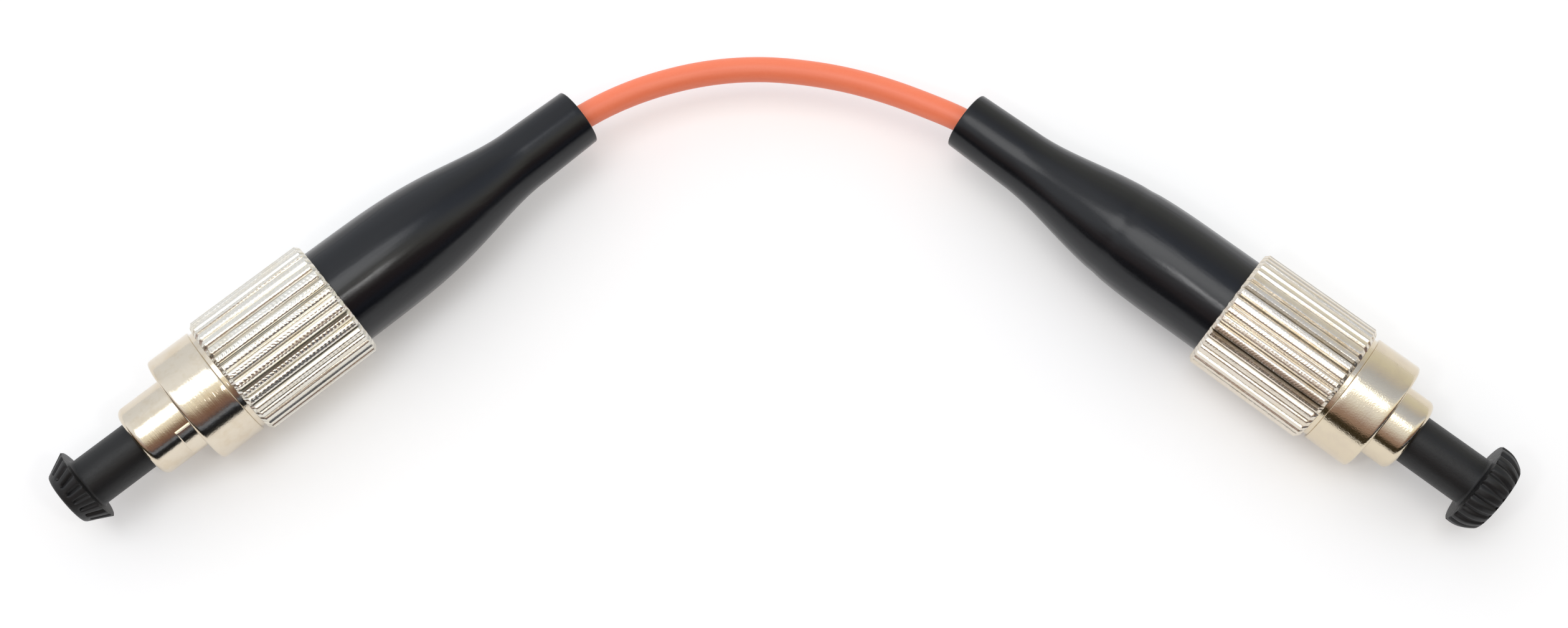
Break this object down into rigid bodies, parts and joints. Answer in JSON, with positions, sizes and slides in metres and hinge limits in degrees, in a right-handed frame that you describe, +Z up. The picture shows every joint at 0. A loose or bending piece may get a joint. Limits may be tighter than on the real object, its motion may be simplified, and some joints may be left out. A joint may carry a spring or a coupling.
{
  "type": "fibre loopback plug",
  "caption": "Short orange fibre cable joining two threaded ferrule plugs, each with a knurled coupling nut, black boot and dust cap, for looping a fibre port back.",
  "frame": {"origin": "centre of the box around the two plugs, on the surface that the nuts rest on", "axes": "+X from the left plug to the right plug, +Y towards the top of the cable's arch, +Z up"},
  "size_m": [0.1082, 0.0386, 0.01],
  "materials": {
    "nickel_plate": "nickel-plated brass, turned and bright",
    "spring_steel": "drawn wire, bright",
    "crimp_metal": "nickel-plated, dull",
    "zirconia": "polished white ceramic",
    "fibre_glass": "clear buffer over glass",
    "aramid": "yellow aramid yarn",
    "boot_black": "glossy moulded black",
    "cap_black": "satin moulded black",
    "cable_orange": "satin orange jacket"
  },
  "bodies": {
    "cable_and_plugs": {"cable": "cable_orange", "left_plug_frame": "nickel_plate", "left_rear_body": "nickel_plate", "left_spring": "spring_steel", "left_aramid_yarn": "aramid", "left_crimp_sleeve": "crimp_metal", "left_boot": "boot_black", "right_plug_frame": "nickel_plate", "right_rear_body": "nickel_plate", "right_spring": "spring_steel", "right_aramid_yarn": "aramid", "right_crimp_sleeve": "crimp_metal", "right_boot": "boot_black"},
    "left_clip": {"left_retaining_clip": "spring_steel"},
    "left_nut": {"left_coupling_nut": "nickel_plate"},
    "left_ferrule_group": {"left_ferrule": "zirconia", "left_ferrule_holder": "nickel_plate", "left_fibre": "fibre_glass"},
    "left_cap": {"left_dust_cap": "cap_black"},
    "right_clip": {"right_retaining_clip": "spring_steel"},
    "right_nut": {"right_coupling_nut": "nickel_plate"},
    "right_ferrule_group": {"right_ferrule": "zirconia", "right_ferrule_holder": "nickel_plate", "right_fibre": "fibre_glass"},
    "right_cap": {"right_dust_cap": "cap_black"}
  },
  "joints": [
    {"name": "left_nut_turn", "type": "hinge", "parent": "cable_and_plugs", "child": "left_clip", "pos_m": [-0.03736, -0.00168, 0.005], "axis": [-0.7716, -0.6361, 0], "continuous": true},
    {"name": "left_nut_slide", "type": "slide", "parent": "left_clip", "child": "left_nut", "axis": [-0.7716, -0.6361, 0], "range_m": [-0.00045, 0.00215]},
    {"name": "left_ferrule_push", "type": "slide", "parent": "cable_and_plugs", "child": "left_ferrule_group", "axis": [0.7716, 0.6361, 0], "range_m": [0, 0.001], "stiffness_N_per_m": 3000, "deforming": ["left_spring"]},
    {"name": "left_cap_pull", "type": "slide", "parent": "left_ferrule_group", "child": "left_cap", "axis": [-0.7716, -0.6361, 0], "range_m": [0, 0.012]},
    {"name": "right_nut_turn", "type": "hinge", "parent": "cable_and_plugs", "child": "right_clip", "pos_m": [0.03626, -0.00238, 0.005], "axis": [0.7716, -0.6361, 0], "continuous": true},
    {"name": "right_nut_slide", "type": "slide", "parent": "right_clip", "child": "right_nut", "axis": [0.7716, -0.6361, 0], "range_m": [-0.00195, 0.00065]},
    {"name": "right_ferrule_push", "type": "slide", "parent": "cable_and_plugs", "child": "right_ferrule_group", "axis": [-0.7716, 0.6361, 0], "range_m": [0, 0.001], "stiffness_N_per_m": 3000, "deforming": ["right_spring"]},
    {"name": "right_cap_pull", "type": "slide", "parent": "right_ferrule_group", "child": "right_cap", "axis": [0.7716, -0.6361, 0], "range_m": [0, 0.012]}
  ]
}
